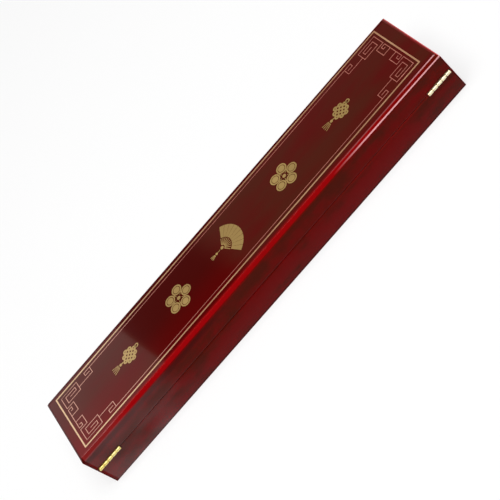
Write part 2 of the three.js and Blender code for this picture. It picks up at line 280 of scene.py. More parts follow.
def lacquer_coat(place):
    """X runs along the box to its right end, Y across it to the hinges, and Z up from what it stands on."""
    along = place.part("X")
    height = place.part("Z")
    grain = place.clouds(60, 5, (0.3, 1.3, 1.6))
    patches = place.clouds(24, 2, (0.7, 1, 1))
    mottle = place.clouds(110, 2, (0.7, 1, 1))
    dust = place.clouds(1400, 3)
    wobble = place.clouds(45, 2, (0.5, 1, 1))
    is_top = height.ramp(LID_TOP - 0.14 * MM, LID_TOP - 0.04 * MM)
    is_bevel = height.ramp(RIDGE - 0.1 * MM, RIDGE + 0.3 * MM) * (1 - is_top)
    is_right_end = along.ramp(FLAT_END - 0.4 * MM, FLAT_END + 0.2 * MM)
    is_left_end = along.fall(-FLAT_END - 0.2 * MM, -FLAT_END + 0.4 * MM)
    darker_top = darker_top_mask(place)
    side = side_lacquer(place, grain, patches, mottle)
    top = top_lacquer(place, grain, patches, mottle, darker_top)
    # The bevel's painted reflection, which turns into a painted haze of reflection towards the right end
    wear_and_sheen = bevel_sheen(place, grain, is_top, is_bevel) * (1 - is_right_end)
    bright = along.ramp(125 * MM, 165 * MM).colour(HIGHLIGHT_RED, REFLECTION_HAZE_RED)
    red = wear_and_sheen.colour(is_top.colour(side, top), bright)
    # The ridge across the left end has a painted bright red highlight, and the base's rim a faint painted
    # highlight line of the same red
    end_ridge = is_left_end * height.band(RIDGE - 0.3 * MM, RIDGE + 0.6 * MM, 0.8 * MM)
    end_ridge = end_ridge * (from_side(place) - from_end(place)).ramp(0, 0.4 * MM)
    rim_highlight = height.band(BASE_RIM - 1.2 * MM, BASE_RIM, 0.2 * MM) * along.fall(-120 * MM, 0) * 0.09
    red = (end_ridge + rim_highlight).colour(red, END_HIGHLIGHT_RED)
    # Handling has polished patches of the right half, though little of the bevel and nothing of the end
    handled = along.ramp(70 * MM, 130 * MM) * patches.ramp(0.3, 0.55)
    handled = handled * (1 - is_right_end) * (1 - is_bevel * along.fall(125 * MM, 155 * MM))
    top_gloss = 0.3 + 0.13 * along.ramp(140 * MM, 178 * MM) - darker_top * 0.27
    return {
        "Base Color": painted_highlight_lines(place, is_left_end, is_right_end).colour(red, HIGHLIGHT_PINK),
        "Roughness": 0.09 + grain * 0.05 + dust * 0.04 + is_bevel * (is_right_end + is_left_end) * 0.35,
        "Coat Weight": is_top * top_gloss + (1 - is_top) * handled * 0.55,
        "Normal": (wobble + dust * 0.04).relief(0.05 * MM, 0.5),
    }


lacquer = finish_of(
    "red_lacquer",
    lacquer_coat,
    Specular_IOR_Level=0.12,
    Specular_Tint=(1, 0.1, 0.07, 1),
    Coat_Roughness=0.04,
)


def deselect():
    if bpy.context.object and bpy.context.object.mode != "OBJECT":
        bpy.ops.object.mode_set(mode="OBJECT")
    bpy.ops.object.select_all(action="DESELECT")


def only(piece):
    deselect()
    piece.select_set(True)
    bpy.context.view_layer.objects.active = piece


def edit(piece, kind="EDGE"):
    only(piece)
    bpy.ops.object.mode_set(mode="EDIT")
    bpy.ops.mesh.select_mode(type=kind)


def middle_of(part):
    return sum((vertex.co for vertex in part.verts), Vector()) / len(part.verts)


def choose(piece, kind, test):
    """Selects the edges or faces in edit mode whose middle passes the test, and nothing else."""
    shape = bmesh.from_edit_mesh(piece.data)
    for part in [*shape.faces, *shape.edges, *shape.verts]:
        part.select_set(False)
    for part in shape.edges if kind == "EDGE" else shape.faces:
        if test(middle_of(part)):
            part.select_set(True)
    bmesh.update_edit_mesh(piece.data)


def round_over(piece, test, radius, segments=3):
    edit(piece)
    choose(piece, "EDGE", test)
    bpy.ops.mesh.bevel(offset=radius, segments=segments, affect="EDGES")
    bpy.ops.object.mode_set(mode="OBJECT")


def block(name, low, high):
    deselect()
    low, high = Vector(low), Vector(high)
    bpy.ops.mesh.primitive_cube_add(size=1, location=(low + high) / 2)
    piece = bpy.context.object
    piece.name = name
    piece.scale = high - low
    bpy.ops.object.transform_apply(location=True, rotation=True, scale=True)
    return piece


def settle(piece, material, body, slot, *nodes, smooth=35):
    """The finished piece gets its material and its body, and stands for the nodes named."""
    only(piece)
    bpy.ops.object.shade_smooth_by_angle(angle=math.radians(smooth))
    piece.data.materials.clear()
    piece.data.materials.append(material)
    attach(piece, body)
    if nodes:
        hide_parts(*nodes)


def near(value, target):
    return abs(value - target) < 0.01 * MM


top_board = block(
    "lid_top_board",
    (-HALF_LENGTH, -HALF_WIDTH, PANEL_UNDERSIDE),
    (HALF_LENGTH, HALF_WIDTH, LID_TOP),
)
round_over(top_board, lambda middle: near(middle.z, LID_TOP), BEVEL, segments=1)
round_over(top_board, lambda middle: not near(middle.z, PANEL_UNDERSIDE), CORNER_ROUND)
settle(top_board, lacquer, "lid", "lacquer", "lid_top_panel")


# The print on the lid is gold leaf, laid as a broad border line, a thin inner line that turns into a
# square fret at each corner, and a row of knot, blossom and fan down the middle. The print lies a
# little askew on the lid.
PRINT_MIDDLE = Vector((0.8, -0.95, 0)) * MM
BORDER_MIDDLE = Vector((1.15, -0.88, 0)) * MM
PRINT_TURN = math.radians(0.36)
BORDER_HALF_LENGTH = 169.7 * MM
BORDER_HALF_WIDTH = 27.45 * MM
BORDER_LINE = 1.1 * MM
FRET_HALF_LENGTH = 166.5 * MM
FRET_HALF_WIDTH = 24.0 * MM
FRET_LINE = 0.45 * MM
LEAF_RISE = 0.05 * MM
LEAF_SUNK = 0.02 * MM
WORN_LEAF = (0.2, 0.09, 0.035, 1)


def leaf_tone(bright, dull, lit_gold):
    """Gold leaf, dull and bright in patches, and painted brighter towards the right end, a painted
    reflection.
    """

    def tone(place):
        worn = place.clouds(420, 4)
        patches = place.clouds(35, 3)
        gold = patches.ramp(0.3, 0.7).colour(dull, bright)
        gold = place.part("X").ramp(55 * MM, 130 * MM).colour(gold, lit_gold)
        return {
            "Base Color": (worn.ramp(0.62, 0.8) * 0.5).colour(gold, WORN_LEAF),
            "Roughness": 0.34 + worn * 0.2,
            "Normal": worn.relief(0.02 * MM, 0.6),
        }

    return tone


border_gold = finish_of(
    "border_gold",
    leaf_tone(bright=(0.58, 0.32, 0.17, 1), dull=(0.45, 0.21, 0.11, 1), lit_gold=(0.80, 0.55, 0.33, 1)),
    Metallic=0.4,
)
fret_gold = finish_of(
    "fret_gold",
    leaf_tone(bright=(0.60, 0.21, 0.15, 1), dull=(0.46, 0.14, 0.11, 1), lit_gold=(0.78, 0.42, 0.32, 1)),
    Metallic=0.4,
)
picture_gold = finish_of(
    "picture_gold",
    leaf_tone(bright=(0.47, 0.31, 0.10, 1), dull=(0.36, 0.23, 0.07, 1), lit_gold=(0.54, 0.37, 0.15, 1)),
    Metallic=0.35,
)


def lay_leaf(piece, gold, middle=PRINT_MIDDLE):
    """Gives a flat drawing its thickness and lays it on the lid, the drawing's middle on the one given."""
    only(piece)
    thick = piece.modifiers.new("leaf", "SOLIDIFY")
    thick.thickness = LEAF_RISE + LEAF_SUNK
    thick.offset = 1
    bpy.ops.object.modifier_apply(modifier="leaf")
    piece.location = middle + Vector((0, 0, LID_TOP - LEAF_SUNK))
    piece.rotation_euler.z = PRINT_TURN
    bpy.ops.object.transform_apply(location=True, rotation=True, scale=True)
    edit(piece, "FACE")
    bpy.ops.mesh.select_all(action="SELECT")
    bpy.ops.mesh.remove_doubles(threshold=0.001 * MM)
    bpy.ops.mesh.normals_make_consistent(inside=False)
    bpy.ops.object.mode_set(mode="OBJECT")
    settle(piece, gold, "lid", "brass")


def flat_frame(name, half_length, half_width, line):
    """A ring of four straight lines with mitred corners."""
    deselect()
    bpy.ops.mesh.primitive_plane_add(size=2)
    piece = bpy.context.object
    piece.name = name
    piece.scale = (half_length + line / 2, half_width + line / 2, 1)
    bpy.ops.object.transform_apply(scale=True)
    edit(piece, "FACE")
    bpy.ops.mesh.select_all(action="SELECT")
    bpy.ops.mesh.inset(thickness=line)
    bpy.ops.mesh.delete(type="FACE")
    bpy.ops.object.mode_set(mode="OBJECT")
    return piece


def square_line(points, line):
    """A flat line through the points, each leg along X or Y, with square corners."""
    points = [Vector((x, y, 0)) * MM for x, y in points]
    deselect()
    bpy.ops.mesh.primitive_plane_add(size=line, location=points[0])
    piece = bpy.context.object
    bpy.ops.object.transform_apply(location=True)
    edit(piece)
    for here, there in zip(points, points[1:]):
        ahead = (there - here).normalized()
        side = here + ahead * line / 2
        choose(piece, "EDGE", lambda middle: (middle - side).length < 0.01 * MM)
        for step in ((there - here).length - line, line):
            bpy.ops.mesh.extrude_region_move(TRANSFORM_OT_translate={"value": ahead * step})
    bpy.ops.object.mode_set(mode="OBJECT")
    return piece


def joined(name, pieces):
    deselect()
    for piece in pieces:
        piece.select_set(True)
    bpy.context.view_layer.objects.active = pieces[0]
    bpy.ops.object.join()
    pieces[0].name = name
    return pieces[0]


def copied(piece, name):
    copy = piece.copy()
    copy.data = piece.data.copy()
    copy.name = name
    bpy.context.scene.collection.objects.link(copy)
    return copy


border = flat_frame("gold_border", BORDER_HALF_LENGTH, BORDER_HALF_WIDTH, BORDER_LINE)
lay_leaf(border, border_gold, BORDER_MIDDLE)

inner_x = FRET_HALF_LENGTH / MM
inner_y = FRET_HALF_WIDTH / MM
line = FRET_LINE / MM

# Each is drawn in millimetres, inwards from the inner line's corner: along the lid first, then across it
HOOK_END = 30.6
CURL_START = 13.5
FRET_SPIRAL = [(0, 0), (16.2, 0), (16.2, 8.7), (3.4, 8.7), (3.4, 2.6), (13.3, 2.6), (13.3, 5.45), (7.1, 5.45)]
FRET_HOOK = [(16.2 + line, 5.85), (HOOK_END, 5.85), (HOOK_END, 0), (24.6, 0), (24.6, 2.9), (28.9, 2.9)]
FRET_KEY = [(0, line), (0, 11.5), (6.8, 11.5), (6.8, 20.4), (line, 20.4)]
FRET_CURL = [(line, CURL_START), (3.4, CURL_START), (3.4, 16.1), (1.7, 16.1)]

corner = joined(
    "gold_fret",
    [
        square_line([(inner_x - along, inner_y - across) for along, across in path], FRET_LINE)
        for path in (FRET_SPIRAL, FRET_HOOK, FRET_KEY, FRET_CURL)
    ],
)
mirrorings = {"right_back": (1, 1), "right_front": (1, -1), "left_back": (-1, 1), "left_front": (-1, -1)}
for where, (flip_x, flip_y) in mirrorings.items():
    fret = copied(corner, f"gold_fret_{where}")
    fret.scale = (flip_x, flip_y, 1)
    lay_leaf(fret, fret_gold)
bpy.data.objects.remove(corner)

long_reach = inner_x - HOOK_END - line
end_reach = inner_y - CURL_START
for side, name in ((1, "back"), (-1, "front")):
    run = square_line([(-long_reach, side * inner_y), (long_reach, side * inner_y)], FRET_LINE)
    run.name = f"gold_line_{name}"
    lay_leaf(run, fret_gold)
for side, name in ((1, "right"), (-1, "left")):
    run = square_line([(side * inner_x, -end_reach), (side * inner_x, end_reach)], FRET_LINE)
    run.name = f"gold_line_{name}"
    lay_leaf(run, fret_gold)


def direction(turn):
    return Vector((math.cos(turn), math.sin(turn), 0))


def left_of(ahead):
    return Vector((-ahead.y, ahead.x, 0))


ARC_STEP = 12


def stroke(start, heading, moves, width, cap=None):
    """A flat stroke of a pen, in millimetres. A move is a length ahead, or a (radius, degrees) bend, to
    the left where the degrees are above 0. The ends are rounded unless cap says how long the first bit is."""
    width = width * MM
    first = width * 0.6 if cap is None else cap * MM
    at = Vector((*start, 0)) * MM
    turn = math.radians(heading)
    ahead = direction(turn)
    deselect()
    bpy.ops.mesh.primitive_plane_add(size=1, location=at + ahead * first / 2, rotation=(0, 0, turn))
    piece = bpy.context.object
    piece.scale = (first, width, 1)
    bpy.ops.object.transform_apply(location=True, rotation=True, scale=True)
    at = at + ahead * first
    edit(piece)
    choose(piece, "EDGE", lambda middle: (middle - at).length < 0.01 * MM)
    for move in moves:
        if isinstance(move, tuple):
            radius, degrees = move
            to_centre = math.copysign(radius, degrees) * MM
            centre = at + left_of(ahead) * to_centre
            steps = max(2, round(abs(degrees) / ARC_STEP))
            bpy.ops.mesh.spin(steps=steps, angle=-math.radians(degrees), center=centre, axis=(0, 0, 1))
            turn += math.radians(degrees)
            ahead = direction(turn)
            at = centre - left_of(ahead) * to_centre
        else:
            bpy.ops.mesh.extrude_region_move(TRANSFORM_OT_translate={"value": ahead * move * MM})
            at = at + ahead * move * MM
    if cap is None:
        bpy.ops.mesh.select_mode(type="VERT")
        shape = bmesh.from_edit_mesh(piece.data)
        for vertex in shape.verts:
            vertex.select_set(len(vertex.link_faces) == 1)
        bmesh.update_edit_mesh(piece.data)
        bpy.ops.mesh.bevel(offset=width * 0.42, segments=4, affect="VERTICES")
    bpy.ops.object.mode_set(mode="OBJECT")
    return piece


def disc(x, y, radius):
    deselect()
    centre = (x * MM, y * MM, 0)
    bpy.ops.mesh.primitive_circle_add(vertices=36, radius=radius * MM, fill_type="NGON", location=centre)
    piece = bpy.context.object
    bpy.ops.object.transform_apply(location=True)
    return piece


def turned(piece, degrees):
    """A copy turned about the drawing's middle."""
    copy = copied(piece, piece.name)
    only(copy)
    copy.rotation_euler.z = math.radians(degrees)
    bpy.ops.object.transform_apply(rotation=True)
    return copy


def petal(reach, radius, rim_highlight, gap):
    """A round petal: a rim, a fine gap, and a filled middle."""
    piece = disc(0, reach, radius)
    edit(piece, "FACE")
    bpy.ops.mesh.select_all(action="SELECT")
    bpy.ops.mesh.inset(thickness=rim_highlight * MM)
    bpy.ops.mesh.inset(thickness=gap * MM)
    centre = Vector((0, reach, 0)) * MM
    ring = (radius - rim_highlight - gap / 2) * MM
    choose(piece, "FACE", lambda middle: abs((middle - centre).length - ring) < gap * MM / 3)
    bpy.ops.mesh.delete(type="FACE")
    bpy.ops.object.mode_set(mode="OBJECT")
    return piece


def blossom():
    first_petal = petal(reach=7.5, radius=4.25, rim_highlight=1.1, gap=0.45)
    first_stamen = joined("stamen", [stroke((0, 2.5), 90, [1.2], 0.5), disc(0, 4.7, 0.55)])
    petals = [turned(first_petal, 72 * i) for i in range(1, 5)] + [first_petal]
    stamens = [turned(first_stamen, 36 + 72 * i) for i in range(5)]
    bpy.data.objects.remove(first_stamen)
    return petals + stamens + [disc(0, 0, 1.5)]


def knot():
    """A square knot of crossed cords, standing on its corner, with a loop above and a tassel below."""
    cord = 1.3
    crossings = 7
    lift = 3.0
    fringe_spread = (-15, -5, 5, 15)
    deselect()
    size = cord * crossings * MM
    bpy.ops.mesh.primitive_grid_add(x_subdivisions=crossings, y_subdivisions=crossings, size=size)
    net = bpy.context.object
    edit(net, "FACE")

    def cell(value):
        return round(value / (cord * MM) + (crossings - 1) / 2)

    choose(net, "FACE", lambda middle: cell(middle.x) % 2 == 1 and cell(middle.y) % 2 == 1)
    bpy.ops.mesh.delete(type="FACE")
    bpy.ops.mesh.select_mode(type="EDGE")
    # On each side two pairs of cord ends are joined by loops
    for quarter in range(4):
        out = direction(quarter * math.pi / 2)
        along = left_of(out) * cord * MM
        for cords_from_middle in (-3, 0):
            edge = out * size / 2 + along * cords_from_middle
            choose(net, "EDGE", lambda middle: (middle - edge).length < 0.01 * MM)
            bpy.ops.mesh.spin(steps=10, angle=-math.pi, center=edge + along, axis=(0, 0, 1))
    bpy.ops.mesh.select_all(action="SELECT")
    bpy.ops.mesh.remove_doubles(threshold=0.01 * MM)
    bpy.ops.object.mode_set(mode="OBJECT")
    only(net)
    net.rotation_euler.z = math.radians(45)
    net.location.y = lift * MM
    bpy.ops.object.transform_apply(location=True, rotation=True)
    reach = cord * crossings / math.sqrt(2)
    low = lift - reach
    fringe = [stroke((lean * 0.09, low - 4.6), -90 + lean, [5.6], 0.5) for lean in fringe_spread]
    hanger = stroke((0, lift + reach + 0.3), 90, [0.8, (1.3, 345)], 0.8)
    tassel_cord = stroke((0, low - 0.3), -90, [1.1], 0.8)
    tassel_head = disc(0, low - 3.0, 1.15)
    return [net, hanger, tassel_cord, tassel_head, *fringe]


def folding_fan():
    """A fan spread open, its pleats apart above its ribs, with a bead and a fringe under the pivot."""
    pivot = -9.5
    spread = 126
    pleats = 9
    gap = 0.9
    rib_start, rib_length = 2.2, 5.3
    inner, outer = 8.4, 18.2
    mean = (inner + outer) / 2
    step = spread / pleats
    parts = []

    def from_pivot(degrees, distance):
        toward = math.radians(degrees)
        return distance * math.cos(toward), pivot + distance * math.sin(toward)

    for i in range(pleats):
        toward = 90 + spread / 2 - i * step - gap / 2
        bend = (mean, -(step - gap))
        parts.append(stroke(from_pivot(toward, mean), toward - 90, [bend], outer - inner, cap=0.02))
    for i in range(pleats + 1):
        toward = 90 + spread / 2 - i * step
        parts.append(stroke(from_pivot(toward, rib_start), toward, [rib_length], 0.6))
    parts.append(disc(0, pivot, 1.35))
    parts.append(stroke((0, pivot - 2.0), -90, [2.2], 0.5))
    parts.append(disc(0, pivot - 5.6, 1.0))
    for lean in (-14, 0, 14):
        parts.append(stroke((lean / 28, pivot - 7.0), -90 + lean, [3.6], 0.6))
    return parts


MOTIF_PITCH = 55 * MM
for place_in_row, draw in enumerate((knot, blossom, folding_fan, blossom, knot)):
    motif = joined(f"gold_{draw.__name__}_{place_in_row + 1}", draw())
    only(motif)
    motif.rotation_euler.z = math.radians(90)
    motif.location.x = (place_in_row - 2) * MOTIF_PITCH
    bpy.ops.object.transform_apply(location=True, rotation=True)
    lay_leaf(motif, picture_gold)


# The walls are plain boards, glued at the corners so that the long ones run the full length. The lid's
# stand under its top board. Lacquer hides the joints. All are eased along the outer edges.
LID_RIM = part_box("lid_back_wall")[0].z
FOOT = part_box("base_back_wall")[0].z
INNER_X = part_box("base_right_end_wall")[0].x
INNER_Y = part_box("base_back_wall")[0].y
RIM_ROUND = 0.28 * MM
FOOT_ROUND = 0.2 * MM


def is_outside(middle):
    return abs(middle.x) > HALF_LENGTH - CORNER_ROUND or abs(middle.y) > HALF_WIDTH - CORNER_ROUND


def wall(name, low, high, rims):
    """A wall board. rims gives the heights whose outer edges are rounded, each with its radius."""
    piece = block(name, low, high)
    if high[0] - low[0] > HALF_LENGTH:
        mean = (low[2] + high[2]) / 2

        def is_corner(middle):
            return near(middle.z, mean) and near(abs(middle.y), HALF_WIDTH)

        round_over(piece, is_corner, CORNER_ROUND)
    for height, radius in rims:
        round_over(piece, lambda middle: near(middle.z, height) and is_outside(middle), radius)
    return piece


def cut_out(piece, *cutters):
    for cutter in cutters:
        only(piece)
        gouge = piece.modifiers.new("cut", "BOOLEAN")
        gouge.object = cutter
        gouge.solver = "EXACT"
        bpy.ops.object.modifier_apply(modifier="cut")
        bpy.data.objects.remove(cutter)


def rod(name, along, centre, radius, length, facets=48):
    deselect()
    turn = {"X": (0, math.pi / 2, 0), "Z": (0, 0, 0)}[along]
    bpy.ops.mesh.primitive_cylinder_add(
        vertices=facets, radius=radius, depth=length, location=centre, rotation=turn
    )
    piece = bpy.context.object
    piece.name = name
    bpy.ops.object.transform_apply(location=True, rotation=True)
    return piece


AXIS = Vector(frame["joints"][0]["pos_m"])
BARREL = 1.25 * MM
LEAF = 0.7 * MM
LEAF_FROM_AXIS = 0.15 * MM
LEAF_INNER_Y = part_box("left_hinge_base_leaf")[0].y
BED_GAP = 0.1 * MM
BED_PAST_AXIS = 2 * MM
GROOVE_GAP = 0.55 * MM
GROOVE_END_GAP = 0.45 * MM
hinge_spans = {
    side: (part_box(f"{side}_hinge_base_leaf")[0].x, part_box(f"{side}_hinge_base_leaf")[1].x)
    for side in ("left", "right")
}
magnet_places = {side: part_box(f"base_magnet_{side}") for side in ("left", "right")}
POCKET_RADIUS = 2.6 * MM
POCKET_DEPTH = 2.3 * MM
SCOOP_REACH = Vector((22, 4, 7)) * MM
SCOOP_FROM_WALL = 2.5 * MM


def hinge_recess(up):
    """The groove for the barrel and the shallow bed for the leaf, at both ends of a back wall."""
    cutters = []
    for low, high in hinge_spans.values():
        middle = ((low + high) / 2, AXIS.y, AXIS.z)
        length = high - low + 2 * GROOVE_END_GAP
        cutters.append(rod("groove", "X", middle, BARREL + GROOVE_GAP, length))
        face = AXIS.z + up * LEAF_FROM_AXIS
        bottom, top = sorted((face - up * 0.6 * MM, face + up * (LEAF + 0.05 * MM)))
        bed_low = (low - BED_GAP, LEAF_INNER_Y - BED_GAP, bottom)
        cutters.append(block("bed", bed_low, (high + BED_GAP, AXIS.y + BED_PAST_AXIS, top)))
    return cutters


def front_recess():
    """The thumb scoop, half in each rim, and the magnets' pockets."""
    deselect()
    middle = (0, -HALF_WIDTH - SCOOP_FROM_WALL, AXIS.z)
    bpy.ops.mesh.primitive_uv_sphere_add(segments=64, ring_count=32, radius=1, location=middle)
    scoop = bpy.context.object
    scoop.scale = SCOOP_REACH
    bpy.ops.object.transform_apply(location=True, scale=True)
    pockets = []
    for low, high in magnet_places.values():
        middle = (low + high) / 2
        middle.z = AXIS.z
        pockets.append(rod("pocket", "Z", middle, POCKET_RADIUS, 2 * POCKET_DEPTH))
    return [scoop, *pockets]


for half, z0, z1, up in (("lid", LID_RIM, PANEL_UNDERSIDE, 1), ("base", FOOT, BASE_RIM, -1)):
    rims = [(z0, RIM_ROUND)] if up > 0 else [(z0, FOOT_ROUND), (z1, RIM_ROUND)]
    front = wall(f"{half}_front_board", (-HALF_LENGTH, -HALF_WIDTH, z0), (HALF_LENGTH, -INNER_Y, z1), rims)
    cut_out(front, *front_recess())
    settle(front, lacquer, half, "lacquer", f"{half}_front_wall")
    back = wall(f"{half}_back_board", (-HALF_LENGTH, INNER_Y, z0), (HALF_LENGTH, HALF_WIDTH, z1), rims)
    cut_out(back, *hinge_recess(up))
    settle(back, lacquer, half, "lacquer", f"{half}_back_wall")
    for side, x0, x1 in (("left", -HALF_LENGTH, -INNER_X), ("right", INNER_X, HALF_LENGTH)):
        end = wall(f"{half}_{side}_end_board", (x0, -INNER_Y, z0), (x1, INNER_Y, z1), rims)
        settle(end, lacquer, half, "lacquer", f"{half}_{side}_end_wall")

low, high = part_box("base_floor_panel")
floor_board = block("base_floor_board", low, high)
round_over(floor_board, lambda middle: True, 0.2 * MM, segments=2)
settle(floor_board, lacquer, "base", "lacquer", "base_floor_panel")


# Two brass butt hinges hold the lid, one at each end of the back. Each is two stamped leaves, let into
# the rims and held by two countersunk screws each, with five knuckles on a pin.
KNUCKLES = 5
KNUCKLE_GAP = 0.45 * MM
PIN = 0.6 * MM
SCREW_HEAD = 1.5 * MM
SCREW_SHANK = 0.8 * MM
SCREW_LENGTH = 5 * MM
SCREW_POINT = 1.6 * MM
SCREW_SUNK = 0.05 * MM
SCREW_TIP_SHARE = 0.08
SLOT_CORNER = Vector((2, 0.2, 0.3)) * MM
HOLE_GAP = 0.1 * MM
PIN_GAP = 0.06 * MM
CLEARANCE_GAP = 0.2 * MM
HIGHLIT_BRASS = (0.94, 0.84, 0.58, 1)
HIGHLIT_BRASS_DULL = (0.84, 0.68, 0.38, 1)
YELLOW_BRASS = (1.0, 0.86, 0.33, 1)
YELLOW_BRASS_DULL = (0.95, 0.75, 0.22, 1)


def brass_tone(place):
    """The left hinge is painted paler, a painted highlight, and the right one is the yellower of the two."""
    handled = place.clouds(160, 4)
    drawn = place.clouds(900, 3, (0.12, 1, 1))
    dulled = handled.ramp(0.35, 0.75)
    highlit = dulled.colour(HIGHLIT_BRASS, HIGHLIT_BRASS_DULL)
    yellow = dulled.colour(YELLOW_BRASS, YELLOW_BRASS_DULL)
    return {
        "Base Color": place.part("X").ramp(-10 * MM, 10 * MM).colour(highlit, yellow),
        "Roughness": 0.32 + handled * 0.1 + drawn * 0.05,
        "Normal": drawn.relief(0.003 * MM, 0.3),
    }


brass = finish_of("polished_brass", brass_tone, Metallic=0.75)


def add_to(piece, *others):
    for other in others:
        only(piece)
        weld = piece.modifiers.new("add", "BOOLEAN")
        weld.operation = "UNION"
        weld.object = other
        weld.solver = "EXACT"
        bpy.ops.object.modifier_apply(modifier="add")
        bpy.data.objects.remove(other)


def knuckle_span(start, pitch, i):
    low = start + i * pitch + (KNUCKLE_GAP / 2 if i > 0 else 0)
    high = start + (i + 1) * pitch - (KNUCKLE_GAP / 2 if i < KNUCKLES - 1 else 0)
    return low, high


def screw_hole(x, y, up):
    """A cone that cuts a countersunk hole in a leaf, wide on the side that faces the other leaf."""
    head, shank = SCREW_HEAD + HOLE_GAP, SCREW_SHANK + HOLE_GAP
    deselect()
    bpy.ops.mesh.primitive_cone_add(
        vertices=48,
        radius1=head if up > 0 else shank,
        radius2=shank if up > 0 else head,
        depth=LEAF + 0.02 * MM,
        location=(x, y, AXIS.z + up * (LEAF_FROM_AXIS + LEAF / 2)),
    )
    cone = bpy.context.object
    bpy.ops.object.transform_apply(location=True)
    return cone


def hinge_rod(name, radius, start, end):
    return rod(name, "X", ((start + end) / 2, AXIS.y, AXIS.z), radius, end - start)


def hinge_leaf(name, low, high, up, screw_xs, screw_y):
    pitch = (high - low) / KNUCKLES
    bottom, top = sorted((AXIS.z + up * LEAF_FROM_AXIS, AXIS.z + up * (LEAF_FROM_AXIS + LEAF)))
    leaf = block(name, (low, LEAF_INNER_Y, bottom), (high, AXIS.y, top))
    round_over(leaf, lambda middle: near(middle.y, LEAF_INNER_Y), 0.12 * MM, segments=2)
    own = [i for i in range(KNUCKLES) if (i % 2 == 0) == (up < 0)]
    for i in range(KNUCKLES):
        start, end = knuckle_span(low, pitch, i)
        if i not in own:
            start, end = start - KNUCKLE_GAP, end + KNUCKLE_GAP
            cut_out(leaf, hinge_rod("clearance", BARREL + CLEARANCE_GAP, start, end))
    for i in own:
        start, end = knuckle_span(low, pitch, i)
        knuckle = hinge_rod("knuckle", BARREL, start, end)
        round_over(knuckle, lambda middle: near(middle.x, start) or near(middle.x, end), 0.3 * MM)
        add_to(leaf, knuckle)
    bore = hinge_rod("bore", PIN + PIN_GAP, low - 1 * MM, high + 1 * MM)
    cut_out(leaf, bore, *[screw_hole(x, screw_y, up) for x in screw_xs])
    return leaf


def screw_model():
    """A countersunk screw that points down from the origin, its slot along X."""
    cone_depth = LEAF - SCREW_SUNK
    tip = SCREW_LENGTH - SCREW_SUNK
    deselect()
    bpy.ops.mesh.primitive_cone_add(
        vertices=48,
        radius1=SCREW_SHANK,
        radius2=SCREW_HEAD,
        depth=cone_depth,
        location=(0, 0, -cone_depth / 2),
    )
    piece = bpy.context.object
    bpy.ops.object.transform_apply(location=True)
    edit(piece, "FACE")
    choose(piece, "FACE", lambda middle: near(middle.z, -cone_depth))
    for drop in (tip - SCREW_POINT - cone_depth, SCREW_POINT):
        bpy.ops.mesh.extrude_region_move(TRANSFORM_OT_translate={"value": (0, 0, -drop)})
    narrowing = (SCREW_TIP_SHARE, SCREW_TIP_SHARE, 1)
    bpy.ops.transform.resize(value=narrowing, center_override=(0, 0, -tip))
    bpy.ops.object.mode_set(mode="OBJECT")
    round_over(piece, lambda middle: near(middle.z, 0), 0.08 * MM, segments=2)
    cut_out(piece, block("slot", -SLOT_CORNER, SLOT_CORNER))
    return piece


screw = screw_model()
for side, (low, high) in hinge_spans.items():
    for half, up in (("base", -1), ("lid", 1)):
        boxes = [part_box(f"{side}_hinge_{half}_screw_{n}") for n in (1, 2)]
        middles = [(box_low + box_high) / 2 for box_low, box_high in boxes]
        screw_xs = [middle.x for middle in middles]
        leaf = hinge_leaf(f"{side}_{half}_leaf", low, high, up, screw_xs, middles[0].y)
        settle(leaf, brass, half, "brass", f"{side}_hinge_{half}_leaf", smooth=30)
        for n, middle in enumerate(middles):
            copy = copied(screw, f"{side}_{half}_screw_{n + 1}")
            # No two of the four slots stand the same way
            slot_turn = 25 + 50 * n + (70 if up > 0 else 0)
            only(copy)
            copy.rotation_euler = (0 if up < 0 else math.pi, 0, math.radians(slot_turn))
            copy.location = (middle.x, middle.y, AXIS.z + up * (LEAF_FROM_AXIS + SCREW_SUNK))
            bpy.ops.object.transform_apply(location=True, rotation=True)
            settle(copy, brass, half, "brass", f"{side}_hinge_{half}_screw_{n + 1}", smooth=30)
    pin = hinge_rod(f"{side}_pin", PIN, low, high)
    round_over(pin, lambda middle: near(middle.x, low) or near(middle.x, high), 0.2 * MM)
    settle(pin, brass, "base", "brass", f"{side}_hinge_pin", smooth=30)
bpy.data.objects.remove(screw)


# A pair of nickelled disc magnets at each end of the front rims holds the lid shut. Each disc is glued
# into a round pocket, with the edges of its faces rounded over.
DULL_NICKEL = (0.40, 0.39, 0.37, 1)
BRIGHT_NICKEL = (0.58, 0.57, 0.54, 1)


def nickel_tone(place):
    wear_and_sheen = place.clouds(600, 4)
    return {
        "Base Color": wear_and_sheen.colour(DULL_NICKEL, BRIGHT_NICKEL),
        "Roughness": 0.25 + wear_and_sheen * 0.2,
    }


nickel = finish_of("nickel_plate", nickel_tone, Metallic=1.0)
for half in ("base", "lid"):
    for side in ("left", "right"):
        low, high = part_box(f"{half}_magnet_{side}")
        middle = (low + high) / 2
        disc_magnet = rod(f"{half}_{side}_disc", "Z", middle, (high.x - low.x) / 2, high.z - low.z, facets=64)
        round_over(disc_magnet, lambda spot: near(spot.z, low.z) or near(spot.z, high.z), 0.2 * MM)
        settle(disc_magnet, nickel, half, "nickel", f"{half}_magnet_{side}")


# The lid is lined along its walls with strips of card under yellow satin. Its pad and the bed in the
# base are the same satin, drawn over foam on a card and glued underneath.
STRIP_ROUND = 0.45 * MM
SATIN_SHADE = (0.74, 0.50, 0.10, 1)
SATIN_LIGHT = (0.86, 0.64, 0.18, 1)
FOAM_PORE_SHADE = (0.55, 0.50, 0.38, 1)
FOAM_CREAM = (0.80, 0.75, 0.60, 1)
CARD_PALE = (0.36, 0.33, 0.29, 1)
CARD_DARK = (0.22, 0.20, 0.18, 1)


